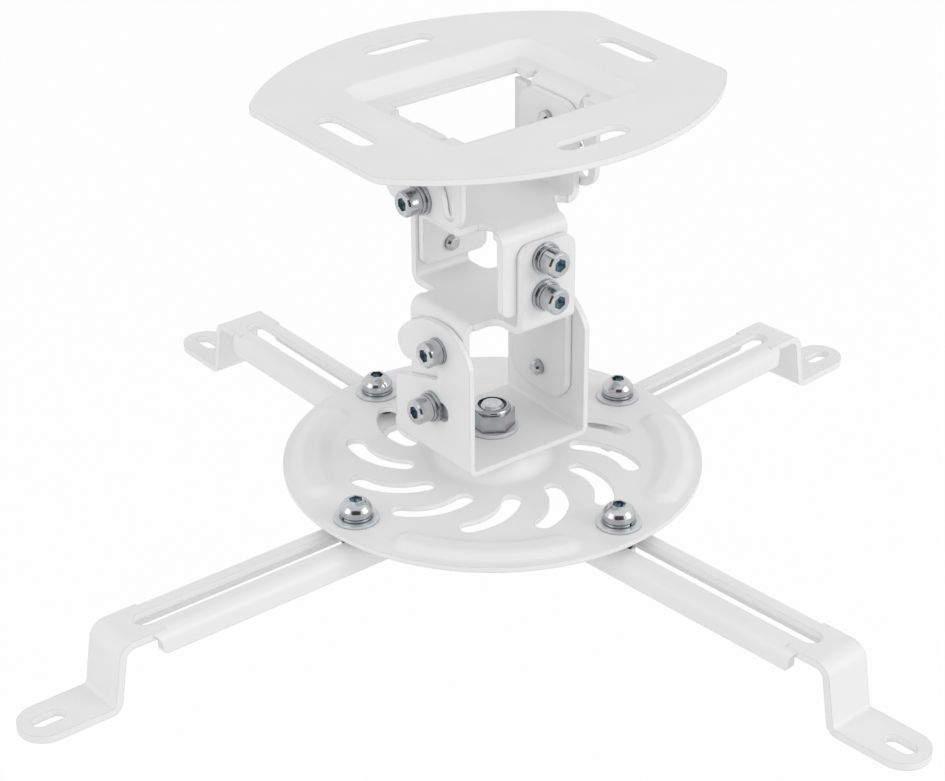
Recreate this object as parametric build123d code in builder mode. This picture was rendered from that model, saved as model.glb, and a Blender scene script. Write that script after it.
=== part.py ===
"""Ceiling mount for a projector: slotted ceiling plate, two cross links, swivel bracket,
round plate and four sliding arms. Millimetres, +Z up. The origin is the middle of the
ceiling face, with X along the tilt pivots and Y along the roll pivots."""

import os
from math import atan, cos, degrees, radians, sin

from build123d import *

# Stock and running gaps
ceiling_sheet = 2.0
link_sheet = 2.5
bracket_sheet = 2.0
plate_sheet = 1.8
arm_sheet = 2.5
bend_radius = 1.5
bend_overlap = 0.5
cheek_gap = 0.3
rub_gap = 0.1
slot_clearance = 0.3
pivot_clearance = 0.06

# Heights
total_drop = 129.2
pivot_low_rise = 48.0
web_low_rise = 59.6
pivot_roll_rise = 69.6
web_high_rise = 92.4
pivot_high_rise = 100.0
plate_z = -total_drop
pivot_low_z = plate_z + pivot_low_rise
web_low_z = plate_z + web_low_rise
pivot_roll_z = plate_z + pivot_roll_rise
web_high_z = plate_z + web_high_rise
pivot_high_z = plate_z + pivot_high_rise

# Ceiling plate
ceiling_length = 134.0
ceiling_width = 126.2
straight_side = 66.0
ceiling_corner = 7.0
recess_length = 73.5
recess_width = 58.5
recess_corner = 6.0
recess_depth = 5.0
recess_lean = 40.0
recess_round = 1.5
opening_width = 39.0
ear_width = 40.0
ear_drop = 34.3
ear_corner = 7.0
ear_root = 24.0
relief_width = 1.8
relief_height = 2.8
mount_slot_length = 26.0
mount_slot_width = 7.6
mount_slot_x = 54.0
mount_slot_y = 48.5

# Cross links
high_link_x = 49.4
high_link_y = 48.0
left_tab_y = (-12.0, 13.0)
right_tab_y = (-13.0, 14.8)
high_tab_rise = 21.5
high_tab_corner = 7.0
drop_tab_x = (-14.5, 11.0)
drop_tab_corner = 3.0
drop_tab_below = 5.6
low_tab_x = (-9.0, 12.0)
low_tab_rise = 17.9
low_tab_corner = 4.5
foot_tab_y = (-13.5, 14.0)
foot_tab_below = 29.5
foot_tab_corner = 8.0
arch_radius = 4.0
arch_x = 15.6
notch_x = 17.0
notch_y = 9.5
notch_radius = 1.5

# Swivel bracket
bracket_width = 48.4
bracket_depth = 39.6
bracket_lift = 8.5
bracket_bend = 3.0
head_rise = 49.0
head_radius = 26.0
shoulder_rise = 38.8
shoulder_y = -14.5
shoulder_mid_rise = 45.7
lobe_radius = 5.4
lobe_bearing = 37.5
neck_y = -1.2
neck_rise = 30.1
neck_radius = 1.8
step_rise = 22.1
pivot_low_y = -3.5

# Lock slots
lock_high_reach = 14.0
lock_high_travel = (-12.0, 88.0)
lock_high_width = 6.0
lock_roll_reach = 12.6
lock_roll_travel = 8.0
lock_low_reach = 21.45
lock_low_lead = 8.8
lock_low_travel = (-13.5, 6.0)
lock_low_width = 6.6

# Round plate
plate_radius = 69.0
plate_turn = 5.0
boss_foot = 19.0
boss_top = 12.5
swirl_count = 12
swirl_width = 6.4
swirl_inner = 29.3
swirl_outer = 46.0
swirl_lead = -21.5
swirl_bulge = 3.2
swirl_start = -0.5
bead_radius = 60.0
bead_width = 12.5
bead_height = 2.0
bead_lean = 60.0
bead_round = 3.0
bead_span = 46.0
arm_circle = 58.6

# Arms
arm_width = 20.4
arm_height = 7.6
arm_tail = 12.6
arm_slot_width = 7.0
arm_slot_tail = 5.2
arm_slot_end = 81.0
flange_end = 78.0
flange_corner = 2.0
strip_width = 17.0
leg_top = 91.2
leg_bend = 5.5
leg_lean = 3.4
foot_drop = 20.4
foot_length = 27.6
foot_hole_length = 11.0
foot_hole_width = 5.6
foot_hole_back = 9.5
shoulder_radius = 4.5
arm_swing = (1.0, -3.6, 1.2, -3.9)
arm_slide = (1.0, 1.5, -3.5, -3.0)
arm_names = ("front_right", "front_left", "back_right", "back_left")
arm_bearing = (-90.0, 180.0, 0.0, 90.0)
spacer_height = 2.7

# M5 socket screws with a flat washer and a split ring
screw_diameter = 5.0
cap_diameter = 8.5
cap_height = 5.0
cap_socket = 4.0
socket_depth = 2.8
cap_length = 10.0
washer_diameter = 10.4
washer_height = 1.2
ring_diameter = 9.0
ring_height = 1.3
ring_slit = 0.8
thin_ring_height = 0.8

# M6 domed screws of the arms
dome_thread = 6.0
dome_diameter = 10.4
dome_side = 2.0
dome_height = 4.8
dome_flat = 5.2
dome_socket = 4.0
dome_socket_depth = 2.6
dome_length = 15.5
pad_diameter = 14.6
pad_height = 0.9
dome_ring_height = 1.3
spacer_diameter = 14.0
small_nut_flats = 10.0
small_nut_height = 5.0

# M8 centre bolt
bolt_diameter = 8.0
bolt_flats = 13.0
bolt_head_height = 5.3
bolt_washer_diameter = 17.0
bolt_washer_height = 1.4
nut_flats = 13.0
nut_turn = 27.0
nut_hex_height = 5.8
nut_collar_height = 1.5
nut_collar_diameter = 12.0
nylon_groove = 1.6
nylon_height = 0.8
bolt_stand_out = 0.4

outer_bend = bend_radius + link_sheet
high_half_x = high_link_x / 2
high_half_y = high_link_y / 2
ear_inner = high_half_x + cheek_gap
ear_outer = ear_inner + ceiling_sheet
roll_inner = high_half_y + cheek_gap
roll_outer = roll_inner + link_sheet
foot_half_x = bracket_width / 2 - bracket_sheet - cheek_gap
base_z = plate_z + bracket_lift
pivot_bore = screw_diameter / 2 + pivot_clearance
arm_bore = dome_thread / 2 + pivot_clearance
lock_high_z = pivot_high_z + lock_high_reach
lock_roll_z = pivot_roll_z + lock_roll_reach
lock_low_y = pivot_low_y + lock_low_reach * sin(radians(lock_low_lead))
lock_low_z = pivot_low_z - lock_low_reach * cos(radians(lock_low_lead))

# Middle lines of the lock slots, in the height and depth of their own faces
lock_high_path = CenterArc((0, pivot_high_z), lock_high_reach, 90 + lock_high_travel[0],
                           lock_high_travel[1] - lock_high_travel[0])
lock_roll_path = CenterArc((0, pivot_roll_z), lock_roll_reach, 90 - lock_roll_travel, 2 * lock_roll_travel)
lock_low_path = CenterArc((pivot_low_y, pivot_low_z), lock_low_reach, lock_low_lead - 90 + lock_low_travel[0],
                          lock_low_travel[1] - lock_low_travel[0])

os.makedirs("parts", exist_ok=True)


def save(sub_part, name):
    sub_part.label = name
    export_step(sub_part, f"parts/{name}.step")
    return sub_part


# Ceiling plate: domed outline, pressed recess and opening
with BuildPart() as ceiling_plate:
    with BuildSketch():
        with BuildLine():
            half = ceiling_length / 2
            side = straight_side / 2
            ThreePointArc((-half, side), (0, ceiling_width / 2), (half, side))
            Line((half, side), (half, -side))
            ThreePointArc((half, -side), (0, -ceiling_width / 2), (-half, -side))
            Line((-half, -side), (-half, side))
        make_face()
        fillet(vertices(), ceiling_corner)
    extrude(amount=-ceiling_sheet)
    recess_wall = ceiling_sheet / cos(radians(recess_lean))
    with BuildSketch():
        RectangleRounded(recess_length + 2 * recess_wall, recess_width + 2 * recess_wall,
                         recess_corner + recess_wall)
    extrude(amount=-recess_depth - ceiling_sheet, taper=recess_lean)
    with BuildSketch():
        RectangleRounded(recess_length, recess_width, recess_corner)
    extrude(amount=-recess_depth, taper=recess_lean, mode=Mode.SUBTRACT)
    # Soft bends round the foot and the mouth of the recess
    fillet(faces().filter_by(Plane.XY).sort_by(Axis.Z)[0].outer_wire().edges(), recess_round)
    fillet(faces().filter_by(Plane.XY).sort_by(Axis.Z)[1].outer_wire().edges(), recess_round)
    fillet(faces().filter_by(Plane.XY).sort_by(Axis.Z)[2].inner_wires()[0].edges(), recess_round)
    fillet(faces().filter_by(Plane.XY).sort_by(Axis.Z)[3].inner_wires()[0].edges(), recess_round)
    with BuildSketch():
        Rectangle(2 * ear_inner, opening_width)
        Rectangle(2 * (ear_outer + bend_radius), ear_root + 2 * relief_width)
    extrude(amount=-recess_depth - ceiling_sheet, mode=Mode.SUBTRACT)
    # Ears: a bent root strip, then the flat ear below the bend
    lip_top = -recess_depth
    ear_top = lip_top - ceiling_sheet - bend_radius
    with BuildSketch(Plane.XZ):
        with BuildLine():
            FilletPolyline((-ear_outer - 5, lip_top), (-ear_inner, lip_top), (-ear_inner, ear_top - 3),
                           radius=bend_radius + ceiling_sheet)
            offset(amount=ceiling_sheet, side=Side.RIGHT)
        make_face()
        mirror(about=Plane.YZ)
    extrude(amount=ear_root / 2, both=True)
    with BuildSketch(Plane.YZ.offset(ear_inner)) as ear:
        with Locations((0, (ear_top - ear_drop) / 2)):
            Rectangle(ear_width, ear_top + ear_drop)
        fillet(ear.vertices().group_by(Axis.Y)[0], ear_corner)
    extrude(amount=ceiling_sheet)
    mirror(about=Plane.YZ)
    with BuildSketch(Plane.YZ):
        with Locations((-(ear_root + relief_width) / 2, ear_top), ((ear_root + relief_width) / 2, ear_top)):
            SlotOverall(relief_height, relief_width, rotation=90)
        with Locations((0, pivot_high_z)):
            Circle(pivot_bore)
        SlotArc(lock_high_path, lock_high_width)
    extrude(amount=ear_outer + 1, both=True, mode=Mode.SUBTRACT)
    # Four slots for the ceiling screws, each running square to its neighbours
    with BuildSketch():
        with Locations((0, mount_slot_y), (0, -mount_slot_y)):
            SlotOverall(mount_slot_length, mount_slot_width)
        with Locations((mount_slot_x, 0), (-mount_slot_x, 0)):
            SlotOverall(mount_slot_length, mount_slot_width, rotation=90)
    extrude(amount=-ceiling_sheet, mode=Mode.SUBTRACT)

save(ceiling_plate.part, "ceiling_plate")

# Upper link: flat web with two arched and two notched corners
with BuildPart() as upper_link:
    web_x = high_half_x - outer_bend
    web_y = high_half_y - outer_bend
    drop_tab_span = drop_tab_x[1] - drop_tab_x[0]
    with BuildSketch(Plane.XY.offset(web_high_z)) as web:
        with BuildLine():
            Polyline((drop_tab_x[0], -web_y), (drop_tab_x[1], -web_y), (notch_x, -notch_y),
                     (web_x, right_tab_y[0]), (web_x, right_tab_y[1]), (-drop_tab_x[0], right_tab_y[1]),
                     (-drop_tab_x[0], web_y), (-drop_tab_x[1], web_y), (-notch_x, notch_y),
                     (-web_x, left_tab_y[1]), (-web_x, left_tab_y[0]), (drop_tab_x[0], left_tab_y[0]),
                     close=True)
        make_face()
        fillet(web.vertices().filter_by(lambda v: abs(abs(v.X) - notch_x) < 0.01), notch_radius)
        with Locations((-arch_x, left_tab_y[0] - arch_radius), (arch_x, right_tab_y[1] + arch_radius)):
            Circle(arch_radius, mode=Mode.SUBTRACT)
    extrude(amount=-link_sheet)
    # Tabs up at both X ends, drawn as a bent strip seen from the front
    with BuildSketch(Plane.XZ.offset(-right_tab_y[0])):
        with BuildLine():
            FilletPolyline((web_x - bend_overlap, web_high_z - link_sheet), (high_half_x, web_high_z - link_sheet),
                           (high_half_x, pivot_high_z + high_tab_rise), radius=outer_bend)
            offset(amount=link_sheet, side=Side.LEFT)
        make_face()
    extrude(amount=right_tab_y[0] - right_tab_y[1])
    with BuildSketch(Plane.XZ.offset(-left_tab_y[0])):
        with BuildLine():
            FilletPolyline((-web_x + bend_overlap, web_high_z - link_sheet), (-high_half_x, web_high_z - link_sheet),
                           (-high_half_x, pivot_high_z + high_tab_rise), radius=outer_bend)
            offset(amount=link_sheet, side=Side.RIGHT)
        make_face()
    extrude(amount=left_tab_y[0] - left_tab_y[1])
    fillet(edges().filter_by(Axis.X).group_by(Axis.Z)[-1], high_tab_corner)
    # Tabs down at both Y ends
    with BuildSketch(Plane.YZ.offset(drop_tab_x[0])):
        with BuildLine():
            FilletPolyline((-web_y + bend_overlap, web_high_z), (-high_half_y, web_high_z),
                           (-high_half_y, pivot_roll_z - drop_tab_below), radius=outer_bend)
            offset(amount=link_sheet, side=Side.LEFT)
        make_face()
    extrude(amount=drop_tab_span)
    with BuildSketch(Plane.YZ.offset(-drop_tab_x[1])):
        with BuildLine():
            FilletPolyline((web_y - bend_overlap, web_high_z), (high_half_y, web_high_z),
                           (high_half_y, pivot_roll_z - drop_tab_below), radius=outer_bend)
            offset(amount=link_sheet, side=Side.RIGHT)
        make_face()
    extrude(amount=drop_tab_span)
    fillet(edges().filter_by(Axis.Y).group_by(Axis.Z)[0], drop_tab_corner)
    with BuildSketch(Plane.YZ):
        with Locations((0, pivot_high_z), (0, lock_high_z)):
            Circle(screw_diameter / 2)
    extrude(amount=high_half_x + 1, both=True, mode=Mode.SUBTRACT)
    with BuildSketch(Plane.XZ):
        with Locations((0, pivot_roll_z), (0, lock_roll_z)):
            Circle(screw_diameter / 2)
    extrude(amount=high_half_y + 1, both=True, mode=Mode.SUBTRACT)

save(upper_link.part, "upper_link")

# Lower link: two slotted tabs up outside the upper link, two tabs down inside the bracket
with BuildPart() as lower_link:
    base_x = foot_half_x - outer_bend
    base_y = roll_outer - outer_bend
    low_tab_span = low_tab_x[1] - low_tab_x[0]
    foot_tab_span = foot_tab_y[1] - foot_tab_y[0]
    low_tab_top = pivot_roll_z + low_tab_rise
    with BuildSketch(Plane.XY.offset(web_low_z)) as web:
        with BuildLine():
            Polyline((low_tab_x[0], -base_y), (low_tab_x[1], -base_y), (low_tab_x[1], foot_tab_y[0]),
                     (base_x, foot_tab_y[0]), (base_x, foot_tab_y[1]), (-low_tab_x[0], foot_tab_y[1]),
                     (-low_tab_x[0], base_y), (-low_tab_x[1], base_y), (-low_tab_x[1], -foot_tab_y[0]),
                     (-base_x, -foot_tab_y[0]), (-base_x, -foot_tab_y[1]), (low_tab_x[0], -foot_tab_y[1]),
                     close=True)
        make_face()
        inner = web.vertices().filter_by(lambda v: abs(v.X) < base_x - 1 and abs(v.Y) < base_y - 1)
        fillet(inner.filter_by(lambda v: v.X * v.Y > 0), arch_radius)
        inner = web.vertices().filter_by(lambda v: abs(v.X) < base_x - 1 and abs(v.Y) < base_y - 1)
        fillet(inner.filter_by(lambda v: v.X * v.Y < 0), notch_radius)
    extrude(amount=-link_sheet)
    with BuildSketch(Plane.YZ.offset(low_tab_x[0])):
        with BuildLine():
            FilletPolyline((-base_y + bend_overlap, web_low_z - link_sheet), (-roll_outer, web_low_z - link_sheet),
                           (-roll_outer, low_tab_top), radius=outer_bend)
            offset(amount=link_sheet, side=Side.RIGHT)
        make_face()
    extrude(amount=low_tab_span)
    with BuildSketch(Plane.YZ.offset(-low_tab_x[1])):
        with BuildLine():
            FilletPolyline((base_y - bend_overlap, web_low_z - link_sheet), (roll_outer, web_low_z - link_sheet),
                           (roll_outer, low_tab_top), radius=outer_bend)
            offset(amount=link_sheet, side=Side.LEFT)
        make_face()
    extrude(amount=low_tab_span)
    fillet(edges().filter_by(Axis.Y).group_by(Axis.Z)[-1], low_tab_corner)
    with BuildSketch(Plane.XZ.offset(-foot_tab_y[0])):
        with BuildLine():
            FilletPolyline((base_x - bend_overlap, web_low_z), (foot_half_x, web_low_z),
                           (foot_half_x, pivot_low_z - foot_tab_below), radius=outer_bend)
            offset(amount=link_sheet, side=Side.RIGHT)
        make_face()
        mirror(about=Plane.YZ)
    extrude(amount=-foot_tab_span)
    fillet(edges().filter_by(Axis.X).group_by(Axis.Z)[0], foot_tab_corner)
    with BuildSketch(Plane.XZ):
        with Locations((0, pivot_roll_z)):
            Circle(pivot_bore)
        SlotArc(lock_roll_path, lock_low_width)
    extrude(amount=roll_outer + 1, both=True, mode=Mode.SUBTRACT)
    with BuildSketch(Plane.YZ):
        with Locations((pivot_low_y, pivot_low_z), (lock_low_y, lock_low_z)):
            Circle(screw_diameter / 2)
    extrude(amount=foot_half_x + 1, both=True, mode=Mode.SUBTRACT)

save(lower_link.part, "lower_link")

# Swivel bracket: bent base, then the two lobed ears
with BuildPart() as swivel_bracket:
    half_x = bracket_width / 2
    half_y = bracket_depth / 2
    with BuildSketch(Plane.XZ):
        with BuildLine():
            FilletPolyline((-half_x, base_z + 2 * bracket_bend), (-half_x, base_z), (half_x, base_z),
                           (half_x, base_z + 2 * bracket_bend), radius=bracket_bend)
            offset(amount=bracket_sheet, side=Side.LEFT)
        make_face()
    extrude(amount=half_y, both=True)
    head_z = base_z + head_rise - head_radius
    head_reach = head_radius - lobe_radius
    lobe_y = pivot_low_y + head_reach * cos(radians(lobe_bearing))
    lobe_z = head_z + head_reach * sin(radians(lobe_bearing))
    neck_z = base_z + neck_rise
    shoulder_z = base_z + shoulder_rise
    crown_bearing = 45 + lobe_bearing / 2
    with BuildSketch(Plane.YZ.offset(half_x - bracket_sheet)):
        with BuildLine():
            Line((-half_y, base_z + bracket_bend), (-half_y, shoulder_z))
            ThreePointArc((-half_y, shoulder_z), (shoulder_y, base_z + shoulder_mid_rise),
                          (pivot_low_y, head_z + head_radius))
            top_arc = ThreePointArc((pivot_low_y, head_z + head_radius),
                                    (pivot_low_y + head_radius * cos(radians(crown_bearing)),
                                     head_z + head_radius * sin(radians(crown_bearing))),
                                    (pivot_low_y + head_radius * cos(radians(lobe_bearing)),
                                     head_z + head_radius * sin(radians(lobe_bearing))))
            lobe_arc = ThreePointArc(top_arc @ 1, (lobe_y + lobe_radius * cos(radians(lobe_bearing / 2 - 45)),
                                                   lobe_z + lobe_radius * sin(radians(lobe_bearing / 2 - 45))),
                                     (lobe_y, lobe_z - lobe_radius))
            upper_lip = Line(lobe_arc @ 1, (neck_y, neck_z + neck_radius))
            neck_arc = ThreePointArc(upper_lip @ 1, (neck_y - neck_radius, neck_z), (neck_y, neck_z - neck_radius))
            lower_lip = Line(neck_arc @ 1, (half_y, base_z + step_rise))
            Line(lower_lip @ 1, (half_y, base_z + bracket_bend))
            Line((half_y, base_z + bracket_bend), (-half_y, base_z + bracket_bend))
        make_face()
    extrude(amount=bracket_sheet)
    mirror(about=Plane.YZ)
    with BuildSketch(Plane.YZ):
        with Locations((pivot_low_y, pivot_low_z)):
            Circle(pivot_bore)
        SlotArc(lock_low_path, lock_low_width)
    extrude(amount=half_x + 1, both=True, mode=Mode.SUBTRACT)
    with BuildSketch(Plane.XY.offset(base_z)):
        Circle(bolt_diameter / 2)
    extrude(amount=bracket_sheet, mode=Mode.SUBTRACT)

save(swivel_bracket.part, "swivel_bracket")

# Round plate: one turned section with a raised centre, then beads, swirl slots and screw holes
with BuildPart() as round_plate:
    boss_z = base_z
    with BuildSketch(Plane.XZ):
        with BuildLine():
            FilletPolyline((bolt_diameter / 2 + pivot_clearance, boss_z), (boss_top, boss_z),
                           (boss_foot, plate_z), (plate_radius, plate_z), radius=2 * plate_sheet)
            offset(amount=plate_sheet, side=Side.RIGHT)
        make_face()
    revolve(axis=Axis.Z)
    with BuildSketch(Plane.XY.offset(plate_z)):
        with PolarLocations(0, 4, start_angle=45 + plate_turn):
            SlotArc(CenterArc((0, 0), bead_radius, -bead_span / 2, bead_span, mode=Mode.PRIVATE), bead_width)
    extrude(amount=bead_height, taper=bead_lean)
    with BuildSketch(Plane.XY.offset(plate_z - plate_sheet)):
        with PolarLocations(0, 4, start_angle=45 + plate_turn):
            SlotArc(CenterArc((0, 0), bead_radius, -bead_span / 2, bead_span, mode=Mode.PRIVATE), bead_width)
    extrude(amount=bead_height, taper=bead_lean, mode=Mode.SUBTRACT)
    bead_tops = faces().filter_by_position(Axis.Z, plate_z + bead_height - 0.1, plate_z + bead_height + 0.1)
    fillet(bead_tops.filter_by(Plane.XY).edges(), bead_round)
    rim_top = faces().filter_by_position(Axis.Z, plate_z - 0.1, plate_z + 0.1).filter_by(Plane.XY)[0]
    bead_feet = [wire.edges() for wire in rim_top.inner_wires() if len(wire.edges()) > 1]
    fillet([edge for wire_edges in bead_feet for edge in wire_edges], bead_round)
    swirl_end_x = swirl_outer * cos(radians(swirl_lead))
    swirl_end_y = swirl_outer * sin(radians(swirl_lead))
    swirl_chord = ((swirl_end_x - swirl_inner) ** 2 + swirl_end_y**2) ** 0.5
    swirl_mid_x = (swirl_inner + swirl_end_x) / 2 - swirl_bulge * swirl_end_y / swirl_chord
    swirl_mid_y = swirl_end_y / 2 + swirl_bulge * (swirl_end_x - swirl_inner) / swirl_chord
    with BuildSketch(Plane.XY.offset(plate_z)):
        with PolarLocations(0, swirl_count, start_angle=swirl_start + plate_turn):
            SlotArc(ThreePointArc((swirl_inner, 0), (swirl_mid_x, swirl_mid_y), (swirl_end_x, swirl_end_y),
                                  mode=Mode.PRIVATE), swirl_width)
        with PolarLocations(arm_circle, 4, start_angle=plate_turn):
            Circle(arm_bore)
    extrude(amount=-plate_sheet, mode=Mode.SUBTRACT)

save(round_plate.part, "round_plate")

# One arm in its own frame: screw axis at the origin, top face at height zero
with BuildPart() as arm:
    with BuildSketch(Plane.YZ.offset(-arm_tail)):
        with BuildLine():
            FilletPolyline((-arm_width / 2, -arm_height), (-arm_width / 2, 0), (arm_width / 2, 0),
                           (arm_width / 2, -arm_height), radius=outer_bend)
            offset(amount=arm_sheet, side=Side.RIGHT)
        make_face()
    extrude(amount=arm_tail + flange_end + shoulder_radius)
    with BuildSketch(Plane.XZ):
        with Locations((flange_end + shoulder_radius, -shoulder_radius)):
            Circle(shoulder_radius)
        with Locations((flange_end + shoulder_radius, -shoulder_radius - arm_height / 2)):
            Rectangle(2 * shoulder_radius, arm_height)
    extrude(amount=arm_width, both=True, mode=Mode.SUBTRACT)
    ends = edges().filter_by(Axis.Y).group_by(Axis.Z)[0]
    fillet(ends, flange_corner)
    with BuildSketch(Plane.XZ):
        with BuildLine():
            FilletPolyline((flange_end - arm_sheet, 0), (leg_top, 0), (leg_top + leg_lean, -foot_drop),
                           (leg_top + leg_lean + foot_length, -foot_drop), radius=(leg_bend, bend_radius))
            offset(amount=arm_sheet, side=Side.RIGHT)
        make_face()
    extrude(amount=strip_width / 2, both=True)
    foot_tip = leg_top + leg_lean + foot_length
    fillet(edges().filter_by(Axis.Z).group_by(Axis.X)[-1], strip_width / 2 - 0.01)
    with BuildSketch():
        with Locations(((arm_slot_end - arm_slot_tail) / 2, 0)):
            SlotOverall(arm_slot_end + arm_slot_tail, arm_slot_width)
    extrude(amount=-arm_sheet, mode=Mode.SUBTRACT)
    with BuildSketch(Plane.XY.offset(-foot_drop)):
        with Locations((foot_tip - foot_hole_back, 0)):
            SlotOverall(foot_hole_length, foot_hole_width)
    extrude(amount=-arm_sheet, mode=Mode.SUBTRACT)

# Fasteners, each drawn once with its bearing face at height zero
with BuildPart() as cap_screw:
    with BuildSketch():
        Circle(cap_diameter / 2)
    extrude(amount=cap_height)
    chamfer(faces().sort_by(Axis.Z)[-1].edges(), 0.6)
    with BuildSketch(Plane.XY.offset(cap_height)):
        RegularPolygon(cap_socket / 2, 6, major_radius=False)
    extrude(amount=-socket_depth, mode=Mode.SUBTRACT)
    with BuildSketch():
        Circle(screw_diameter / 2)
    extrude(amount=-cap_length)
    chamfer(faces().sort_by(Axis.Z)[0].edges(), 0.8)

with BuildPart() as split_ring:
    with BuildSketch():
        Circle(ring_diameter / 2)
        Circle(screw_diameter / 2 + slot_clearance, mode=Mode.SUBTRACT)
        with Locations((ring_diameter / 2, 0)):
            Rectangle(ring_diameter, ring_slit, rotation=0, mode=Mode.SUBTRACT)
    extrude(amount=ring_height)

with BuildPart() as thin_ring:
    with BuildSketch():
        Circle(ring_diameter / 2)
        Circle(screw_diameter / 2 + slot_clearance, mode=Mode.SUBTRACT)
    extrude(amount=thin_ring_height)

with BuildPart() as washer_pair:
    with BuildSketch():
        Circle(washer_diameter / 2)
        Circle(screw_diameter / 2 + slot_clearance, mode=Mode.SUBTRACT)
    extrude(amount=washer_height)
    add(split_ring.part.moved(Location((0, 0, washer_height))))

with BuildPart() as dome_screw:
    dome_r = dome_diameter / 2
    flat_r = dome_flat / 2
    with BuildSketch(Plane.XZ):
        with BuildLine():
            crown = RadiusArc((dome_r, dome_side), (flat_r, dome_height), -dome_r)
            Polyline((flat_r, dome_height), (0, dome_height), (0, 0), (dome_r, 0), (dome_r, dome_side))
        make_face()
    revolve(axis=Axis.Z)
    with BuildSketch(Plane.XY.offset(dome_height)):
        RegularPolygon(dome_socket / 2, 6, major_radius=False)
    extrude(amount=-dome_socket_depth, mode=Mode.SUBTRACT)
    with BuildSketch():
        Circle(dome_thread / 2)
    extrude(amount=-dome_length)
    chamfer(faces().sort_by(Axis.Z)[0].edges(), 0.8)

with BuildPart() as pad_washer:
    with BuildSketch():
        Circle(pad_diameter / 2)
        Circle(dome_thread / 2 + slot_clearance, mode=Mode.SUBTRACT)
    extrude(amount=pad_height)

with BuildPart() as dome_ring:
    with BuildSketch():
        Circle(dome_diameter / 2)
        Circle(dome_thread / 2 + slot_clearance, mode=Mode.SUBTRACT)
        with Locations((dome_diameter / 2, 0)):
            Rectangle(dome_diameter, ring_slit, mode=Mode.SUBTRACT)
    extrude(amount=dome_ring_height)

with BuildPart() as spacer:
    with BuildSketch():
        Circle(spacer_diameter / 2)
        Circle(dome_thread / 2 + slot_clearance, mode=Mode.SUBTRACT)
    extrude(amount=spacer_height)

with BuildPart() as small_nut:
    with BuildSketch():
        RegularPolygon(small_nut_flats / 2, 6, major_radius=False)
        Circle(dome_thread / 2, mode=Mode.SUBTRACT)
    extrude(amount=small_nut_height)

with BuildPart() as centre_bolt:
    under_boss = base_z - plate_sheet
    over_base = base_z + bracket_sheet
    nut_top = over_base + bolt_washer_height + nut_hex_height + nut_collar_height
    with BuildSketch(Plane.XY.offset(under_boss)):
        RegularPolygon(bolt_flats / 2, 6, major_radius=False)
    extrude(amount=-bolt_head_height)
    with BuildSketch(Plane.XY.offset(under_boss)):
        Circle(bolt_diameter / 2)
    extrude(amount=nut_top + bolt_stand_out - under_boss)
    chamfer(faces().sort_by(Axis.Z)[-1].edges(), 0.8)

with BuildPart() as centre_washer:
    with BuildSketch(Plane.XY.offset(over_base)):
        Circle(bolt_washer_diameter / 2)
        Circle(bolt_diameter / 2 + slot_clearance, mode=Mode.SUBTRACT)
    extrude(amount=bolt_washer_height)

with BuildPart() as centre_nut:
    nut_floor = over_base + bolt_washer_height
    with BuildSketch(Plane.XY.offset(nut_floor)):
        RegularPolygon(nut_flats / 2, 6, major_radius=False, rotation=nut_turn)
    extrude(amount=nut_hex_height)
    with BuildSketch(Plane.XY.offset(nut_floor + nut_hex_height)):
        Circle(nut_collar_diameter / 2)
    extrude(amount=nut_collar_height)
    fillet(faces().sort_by(Axis.Z)[-1].edges(), 1.1)
    with BuildSketch(Plane.XY.offset(nut_floor)):
        Circle(bolt_diameter / 2)
    extrude(amount=nut_hex_height + nut_collar_height, mode=Mode.SUBTRACT)
    groove_floor = nut_top - nylon_groove
    with BuildSketch(Plane.XY.offset(groove_floor)):
        Circle(bolt_diameter / 2 + nylon_height)
    extrude(amount=nylon_groove, mode=Mode.SUBTRACT)

with BuildPart() as nylon_ring:
    with BuildSketch(Plane.XY.offset(groove_floor)):
        Circle(bolt_diameter / 2 + nylon_height)
        Circle(bolt_diameter / 2, mode=Mode.SUBTRACT)
    extrude(amount=nylon_height)

save(centre_bolt.part, "centre_bolt")
save(centre_washer.part, "centre_washer")
save(centre_nut.part, "centre_nut")
save(nylon_ring.part, "nylon_ring")


def place(sub_part, name, foot, axis, spin=0.0):
    seat = Plane(origin=foot, z_dir=axis)
    return save(sub_part.moved(Location(seat) * Location((0, 0, 0), (0, 0, spin))), name)


# Screws and washers of the three hinges
pair_height = washer_height + ring_height
for side_name, way in (("left", -1), ("right", 1)):
    ear_face = way * ear_outer
    cheek_face = way * bracket_width / 2
    for role, y, z, face, stack, height in (
        ("tilt_pivot", 0, pivot_high_z, ear_face, washer_pair, pair_height),
        ("tilt_lock", 0, lock_high_z, ear_face, washer_pair, pair_height),
        ("base_pivot", pivot_low_y, pivot_low_z, cheek_face, thin_ring, thin_ring_height),
        ("base_lock", lock_low_y, lock_low_z, cheek_face, washer_pair, pair_height),
    ):
        place(stack.part, f"{role}_washer_{side_name}", (face, y, z), (way, 0, 0))
        place(cap_screw.part, f"{role}_screw_{side_name}", (face + way * height, y, z), (way, 0, 0))
for side_name, way in (("front", -1), ("back", 1)):
    tab_face = way * roll_outer
    for role, z in (("roll_pivot", pivot_roll_z), ("roll_lock", lock_roll_z)):
        place(washer_pair.part, f"{role}_washer_{side_name}", (0, tab_face, z), (0, way, 0))
        place(cap_screw.part, f"{role}_screw_{side_name}", (0, tab_face + way * pair_height, z), (0, way, 0))

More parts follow.
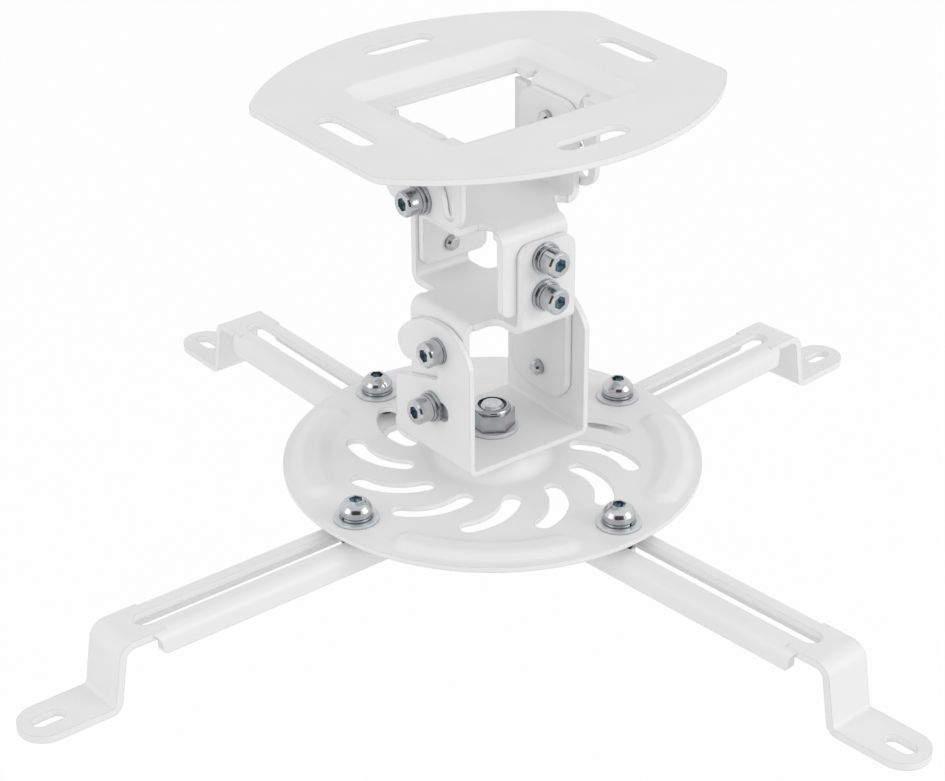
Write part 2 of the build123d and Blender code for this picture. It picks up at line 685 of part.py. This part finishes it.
# Arms with their own screw, washers, spacer and nut
arm_z = plate_z - plate_sheet - spacer_height
for name, bearing, swing, slide in zip(arm_names, arm_bearing, arm_swing, arm_slide):
    seat_angle = radians(bearing + plate_turn)
    seat_x = arm_circle * cos(seat_angle)
    seat_y = arm_circle * sin(seat_angle)
    heading = bearing + plate_turn + swing
    spot = Location((seat_x, seat_y, 0), (0, 0, heading))
    save(arm.part.moved(spot * Location((slide, 0, arm_z))), f"arm_{name}")
    save(pad_washer.part.moved(spot * Location((0, 0, plate_z))), f"arm_washer_{name}")
    save(dome_ring.part.moved(spot * Location((0, 0, plate_z + pad_height))), f"arm_ring_{name}")
    screw_z = plate_z + pad_height + dome_ring_height
    save(dome_screw.part.moved(spot * Location((0, 0, screw_z))), f"arm_screw_{name}")
    save(spacer.part.moved(spot * Location((0, 0, arm_z))), f"arm_spacer_{name}")
    nut_z = arm_z - arm_sheet - small_nut_height
    save(small_nut.part.moved(spot * Location((0, 0, nut_z))), f"arm_nut_{name}")
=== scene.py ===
import bpy
from mathutils import Matrix, Vector


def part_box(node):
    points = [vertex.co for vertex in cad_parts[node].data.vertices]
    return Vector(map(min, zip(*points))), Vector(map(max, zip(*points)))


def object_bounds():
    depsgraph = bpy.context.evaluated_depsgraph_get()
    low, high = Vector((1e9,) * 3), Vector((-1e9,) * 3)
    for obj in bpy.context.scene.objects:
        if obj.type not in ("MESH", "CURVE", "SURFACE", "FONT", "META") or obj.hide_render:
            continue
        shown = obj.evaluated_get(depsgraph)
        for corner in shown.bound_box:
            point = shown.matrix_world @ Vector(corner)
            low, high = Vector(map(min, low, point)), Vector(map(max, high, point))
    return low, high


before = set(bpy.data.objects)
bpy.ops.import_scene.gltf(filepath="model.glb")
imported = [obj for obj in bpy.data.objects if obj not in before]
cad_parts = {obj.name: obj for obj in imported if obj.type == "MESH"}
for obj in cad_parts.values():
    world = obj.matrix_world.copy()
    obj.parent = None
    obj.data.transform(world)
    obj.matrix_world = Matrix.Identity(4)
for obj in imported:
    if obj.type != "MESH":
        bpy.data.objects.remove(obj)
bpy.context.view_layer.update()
scene = bpy.context.scene
scene.view_settings.view_transform = "Standard"

# Lengths are in metres, noise scales in cells per metre, and colours are linear with their alpha
pure_white = (1.0, 1.0, 1.0, 1.0)
bevel_samples = 4
occlusion_samples = 6

# The middle of the mount, which the lamps and the cards face
middle = (0.0, 0.0, -0.08)

# Sockets of Blender's Mix node when it mixes colours
mix_share, mix_first, mix_second, mix_result = 0, 6, 7, 2


def add(tree, kind, **inputs):
    """A shader node with its sockets set by name."""
    node = tree.nodes.new(kind)
    for key, value in inputs.items():
        node.inputs[key.replace("_", " ")].default_value = value
    return node


def start(name):
    """An empty material, its node tree, and the socket that its shader goes to."""
    mat = bpy.data.materials.new(name)
    mat.use_nodes = True
    tree = mat.node_tree
    tree.nodes.clear()
    output = tree.nodes.new("ShaderNodeOutputMaterial")
    return mat, tree, output.inputs["Surface"]


def scaled(colour, factor):
    """A colour made lighter or darker, and no lighter than white."""
    return tuple(min(1.0, part * factor) for part in colour[:3]) + (1.0,)


def blend(tree, share, first, second):
    """Two colours mixed, each a colour or a socket; share is how much the second shows."""
    node = tree.nodes.new("ShaderNodeMix")
    node.data_type = "RGBA"
    tree.links.new(share, node.inputs[mix_share])
    for place, value in ((mix_first, first), (mix_second, second)):
        if isinstance(value, tuple):
            node.inputs[place].default_value = value
        else:
            tree.links.new(value, node.inputs[place])
    return node.outputs[mix_result]


def blend_shaders(tree, share, first, second):
    """Two shaders mixed; share is how much the second shows."""
    node = tree.nodes.new("ShaderNodeMixShader")
    tree.links.new(share, node.inputs[0])
    tree.links.new(first.outputs[0], node.inputs[1])
    tree.links.new(second.outputs[0], node.inputs[2])
    return node.outputs[0]


def larger(tree, first, second):
    """The larger of two values."""
    node = tree.nodes.new("ShaderNodeMath")
    node.operation = "MAXIMUM"
    tree.links.new(first, node.inputs[0])
    tree.links.new(second, node.inputs[1])
    return node.outputs[0]


def remap(tree, value, low, high, to_low, to_high):
    """A value taken from one range to another, and held at the ends."""
    node = add(tree, "ShaderNodeMapRange", From_Min=low, From_Max=high, To_Min=to_low, To_Max=to_high)
    tree.links.new(value, node.inputs["Value"])
    return node.outputs["Result"]


def object_place(tree):
    """The place on the piece, which moves with it."""
    return tree.nodes.new("ShaderNodeTexCoord").outputs["Object"]


def noise(tree, where, scale, detail, rough=0.5):
    """Noise round a half."""
    node = add(tree, "ShaderNodeTexNoise", Scale=scale, Detail=detail, Roughness=rough)
    tree.links.new(where, node.inputs["Vector"])
    return node.outputs["Fac"]


def bumped(tree, height, strength, depth, normal=None):
    """Normals bumped by a height, on top of the normals given."""
    node = add(tree, "ShaderNodeBump", Strength=strength, Distance=depth)
    tree.links.new(height, node.inputs["Height"])
    if normal is not None:
        tree.links.new(normal, node.inputs["Normal"])
    return node.outputs["Normal"]


def rounded_edges(tree, radius):
    """Rounded normals near sharp edges, and how far they turn from the flat ones."""
    flat, well_turned = 1.0, 0.72
    bevel = add(tree, "ShaderNodeBevel", Radius=radius)
    bevel.samples = bevel_samples
    geometry = tree.nodes.new("ShaderNodeNewGeometry")
    agreement = tree.nodes.new("ShaderNodeVectorMath")
    agreement.operation = "DOT_PRODUCT"
    tree.links.new(bevel.outputs["Normal"], agreement.inputs[0])
    tree.links.new(geometry.outputs["Normal"], agreement.inputs[1])
    turned = remap(tree, agreement.outputs["Value"], flat, well_turned, 0.0, 1.0)
    return bevel.outputs["Normal"], turned


def shut_in(tree, reach, closed, open_enough, most):
    """How shut in a point is: most where its openness is under closed, 0 from open_enough."""
    occlusion = add(tree, "ShaderNodeAmbientOcclusion", Distance=reach)
    occlusion.samples = occlusion_samples
    return remap(tree, occlusion.outputs["AO"], closed, open_enough, most, 0.0)


def ring_gaps(tree, where, lowest, highest):
    """One in the shadow gaps along a ring's two flat faces, 0 between them."""
    top_starts, top_full = 0.00036, 0.0002
    bottom_full, bottom_ends = 0.00014, 0.0003
    axes = tree.nodes.new("ShaderNodeSeparateXYZ")
    tree.links.new(where, axes.inputs[0])
    above = remap(tree, axes.outputs["Z"], highest - top_starts, highest - top_full, 0.0, 1.0)
    below = remap(tree, axes.outputs["Z"], lowest + bottom_full, lowest + bottom_ends, 1.0, 0.0)
    return larger(tree, above, below)


def powder_coat(name, colour, edge_highlight_colour):
    """Satin powder coat: fine orange peel, faint clouding, and a painted highlight that makes the edges
    a little paler.
    """
    edge_radius = 0.0005
    cloud_scale, peel_scale, grain_scale = 35.0, 700.0, 3200.0
    peel_depth, grain_depth = 0.00012, 0.00003
    smoothest, roughest = 0.32, 0.44

    mat, tree, surface = start(name)
    where = object_place(tree)
    rounded, edge_highlight = rounded_edges(tree, edge_radius)
    cloud = remap(tree, noise(tree, where, cloud_scale, detail=4.0), 0.35, 0.65, 0.0, 1.0)
    tint = blend(tree, cloud, colour, scaled(colour, 0.975))
    # Painted highlight: the edge colour pales the edges, as if light caught them
    tint = blend(tree, edge_highlight, tint, edge_highlight_colour)
    peel = noise(tree, where, peel_scale, detail=2.0)
    grain = noise(tree, where, grain_scale, detail=1.0)
    normal = bumped(tree, peel, 0.22, peel_depth, rounded)
    normal = bumped(tree, grain, 0.12, grain_depth, normal)
    shader = tree.nodes.new("ShaderNodeBsdfPrincipled")
    shader.inputs["Specular IOR Level"].default_value = 0.55
    tree.links.new(tint, shader.inputs["Base Color"])
    tree.links.new(remap(tree, peel, 0.3, 0.7, smoothest, roughest), shader.inputs["Roughness"])
    tree.links.new(normal, shader.inputs["Normal"])
    tree.links.new(shader.outputs["BSDF"], surface)
    return mat


def zinc(name, colour, tint, rough, metallic=1.0, ring=None):
    """Zinc plate: a drifting tint, fine pitting, a painted highlight on the edges, blue-grey painted
    shade in hollows and dark painted shade in creases.

    ring is the lowest and highest point of a ring whose two flat faces get a shadow gap.
    """
    edge_radius = 0.00025
    drift_scale, pit_scale, mark_scale = 220.0, 2600.0, 900.0
    pit_depth = 0.00003
    # Colours of the painted shade in hollows and in creases, and of the painted shadow gaps on a ring
    hollow_reach, hollow_shade_colour = 0.0035, (0.25, 0.42, 0.48, 1.0)
    crease_reach, crease_shade_colour = 0.001, (0.05, 0.07, 0.08, 1.0)
    gap_shadow_colour = (0.05, 0.075, 0.085, 1.0)

    mat, tree, surface = start(name)
    where = object_place(tree)
    rounded, edge_highlight = rounded_edges(tree, edge_radius)
    drift = remap(tree, noise(tree, where, drift_scale, detail=3.0), 0.38, 0.62, 0.0, 1.0)
    base = blend(tree, drift, colour, tint)
    # Painted highlight: the edges are made lighter, as if light caught them
    base = blend(tree, edge_highlight, base, scaled(colour, 1.15))
    # Painted shade: hollows are darkened to blue-grey where shade falls
    hollow_shade = shut_in(tree, hollow_reach, closed=0.15, open_enough=0.7, most=1.0)
    base = blend(tree, hollow_shade, base, hollow_shade_colour)
    # Painted shade: creases and contact lines are darkened
    crease_shade = shut_in(tree, crease_reach, closed=0.4, open_enough=0.75, most=0.85)
    base = blend(tree, crease_shade, base, crease_shade_colour)
    # Painted shadow: dark bands along the ring's flat faces, in the gaps beside them
    if ring:
        base = blend(tree, ring_gaps(tree, where, *ring), base, gap_shadow_colour)
    pits = noise(tree, where, pit_scale, detail=2.0, rough=0.6)
    marks = noise(tree, where, mark_scale, detail=2.0)
    shader = add(tree, "ShaderNodeBsdfPrincipled", Metallic=metallic)
    tree.links.new(base, shader.inputs["Base Color"])
    tree.links.new(remap(tree, marks, 0.3, 0.7, rough * 0.75, rough * 1.35), shader.inputs["Roughness"])
    tree.links.new(bumped(tree, pits, 0.18, pit_depth, rounded), shader.inputs["Normal"])
    tree.links.new(shader.outputs["BSDF"], surface)
    return mat


def nylon(name):
    """Nylon that lets a little light in, with a fine grain; its near-black colour is painted shade,
    standing for the dark gap round the nut's nylon ring.
    """
    grain_scale, grain_depth = 1500.0, 0.00003

    mat, tree, surface = start(name)
    grain = noise(tree, object_place(tree), grain_scale, detail=2.0)
    # Painted shade: the near-black base colour
    shader = add(tree, "ShaderNodeBsdfPrincipled", Base_Color=(0.10, 0.12, 0.13, 1.0),
                 Roughness=0.42, Subsurface_Weight=0.15, Subsurface_Scale=0.0008)
    tree.links.new(bumped(tree, grain, 0.15, grain_depth), shader.inputs["Normal"])
    tree.links.new(shader.outputs["BSDF"], surface)
    return mat


# The arm rings' height, for the painted shadow gaps along their flat faces
ring_low, ring_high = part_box("arm_ring_front_left")
coat = powder_coat("white_powder_coat", colour=(0.90, 0.896, 0.898, 1.0),
                   edge_highlight_colour=(0.93, 0.927, 0.929, 1.0))
bright_zinc = zinc("bright_zinc", colour=(0.60, 0.60, 0.607, 1.0),
                   tint=(0.48, 0.495, 0.515, 1.0), rough=0.12)
washer_zinc = zinc("washer_zinc", colour=(0.58, 0.58, 0.587, 1.0),
                   tint=(0.50, 0.51, 0.52, 1.0), rough=0.2)
pad_zinc = zinc("pad_zinc", colour=(0.80, 0.80, 0.807, 1.0),
                tint=(0.72, 0.73, 0.74, 1.0), rough=0.36, metallic=0.45)
ring_zinc = zinc("ring_zinc", colour=(0.62, 0.63, 0.64, 1.0),
                 tint=(0.52, 0.56, 0.59, 1.0), rough=0.2, ring=(ring_low[2], ring_high[2]))
nylon_painted_shade = nylon("natural_nylon")


def material_of(name):
    """The material of a CAD node, by its name."""
    if name == "nylon_ring":
        return nylon_painted_shade
    if name.startswith("arm_washer") or name == "centre_washer":
        return pad_zinc
    if name.startswith("arm_ring"):
        return ring_zinc
    if "washer" in name or "spacer" in name:
        return washer_zinc
    if "screw" in name or "nut" in name or "bolt" in name:
        return bright_zinc
    return coat


for node_name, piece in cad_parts.items():
    piece.data.materials.clear()
    piece.data.materials.append(material_of(node_name))


def background_ray(tree):
    """One for a ray that shows the background: straight to the eye, mirrored or through glass."""
    path = tree.nodes.new("ShaderNodeLightPath")
    mirrored = larger(tree, path.outputs["Is Camera Ray"], path.outputs["Is Glossy Ray"])
    return larger(tree, mirrored, path.outputs["Is Transmission Ray"])


def add_plane(name, width, place):
    """A flat square, as the floor and the cards start."""
    bpy.ops.mesh.primitive_plane_add(size=width, location=place)
    plane = bpy.context.object
    plane.name = name
    return plane


def add_floor():
    """The floor: its own white glow where the background shows, and a little of its shadow."""
    width = 14.0
    # The mount hangs, so its arms reach below its feet when it tilts
    drop_below_feet = 0.45
    glow_share = 0.96
    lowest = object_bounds()[0][2]
    floor = add_plane("floor", width, (0.0, 0.0, lowest - drop_below_feet))
    mat, tree, surface = start("pale_floor")
    lit = add(tree, "ShaderNodeBsdfDiffuse", Color=(0.86, 0.86, 0.86, 1.0))
    glow = add(tree, "ShaderNodeEmission", Color=pure_white, Strength=1.0)
    share = remap(tree, background_ray(tree), 0.0, 1.0, 0.0, glow_share)
    tree.links.new(blend_shaders(tree, share, lit, glow), surface)
    floor.data.materials.append(mat)


def add_world():
    """The world: white where the background shows, and a soft even fill on the object."""
    fill_strength, background_strength = 0.71, 1.0
    world = bpy.data.worlds.new("studio")
    scene.world = world
    world.use_nodes = True
    tree = world.node_tree
    tree.nodes.clear()
    output = tree.nodes.new("ShaderNodeOutputWorld")
    fill = add(tree, "ShaderNodeBackground", Color=pure_white, Strength=fill_strength)
    white = add(tree, "ShaderNodeBackground", Color=pure_white, Strength=background_strength)
    mixed = blend_shaders(tree, background_ray(tree), fill, white)
    tree.links.new(mixed, output.inputs["Surface"])


def turned_to(target, place, front_axis):
    """The turn that points an object's front axis from its place to the target."""
    return (Vector(target) - Vector(place)).to_track_quat(front_axis, "Y").to_euler()


def add_lamp(name, place, width, height, power, mirrored):
    """A soft box aimed at the middle of the mount; mirrored says if the metal shows it."""
    data = bpy.data.lights.new(name, "AREA")
    data.shape = "RECTANGLE"
    data.size = width
    data.size_y = height
    data.energy = power
    lamp = bpy.data.objects.new(name, data)
    scene.collection.objects.link(lamp)
    lamp.location = place
    lamp.rotation_euler = turned_to(middle, place, "-Z")
    lamp.visible_glossy = mirrored


def add_card(name, place, width, height):
    """A dark card that shows in reflections alone, and takes no light off the mount."""
    card = add_plane(name, 1.0, place)
    card.scale = (width, height, 1.0)
    card.rotation_euler = turned_to(middle, place, "Z")
    mat, tree, surface = start(name)
    black = add(tree, "ShaderNodeEmission", Color=(0.09, 0.08, 0.085, 1.0), Strength=1.0)
    tree.links.new(black.outputs[0], surface)
    card.data.materials.append(mat)
    card.visible_camera = False
    card.visible_diffuse = False
    card.visible_shadow = False


def add_camera():
    """The camera fitted to the photograph: its place, and the ways right, up and ahead from it."""
    place = (-0.433485, -0.561366, 0.283033)
    right = Vector((0.794854, -0.606767, -0.006387))
    up = Vector((0.295715, 0.378148, 0.877244))
    ahead = Vector((0.529868, 0.699169, -0.480003))
    data = bpy.data.cameras.new("camera")
    data.sensor_fit = "HORIZONTAL"
    data.sensor_width = 36.0
    data.lens = 94.5705
    data.clip_start = 0.05
    data.clip_end = 50.0
    camera = bpy.data.objects.new("camera", data)
    scene.collection.objects.link(camera)
    turn = Matrix((right, up, -ahead)).transposed().to_4x4()
    camera.matrix_world = Matrix.Translation(place) @ turn
    scene.camera = camera


add_floor()
add_world()
add_lamp("right", (0.72, -1.2, 0.42), width=0.8, height=0.85, power=4.6, mirrored=True)
add_lamp("left", (-1.4, 0.22, 0.42), width=0.8, height=0.85, power=2.6, mirrored=True)
add_lamp("front", (-0.85, -1.1, 0.7), width=1.1, height=1.1, power=2.5, mirrored=False)
add_card("card_front", (-0.93, -1.22, 0.30), width=1.9, height=1.5)
add_card("card_back", (0.7, 0.9, 1.1), width=1.3, height=0.35)
add_camera()
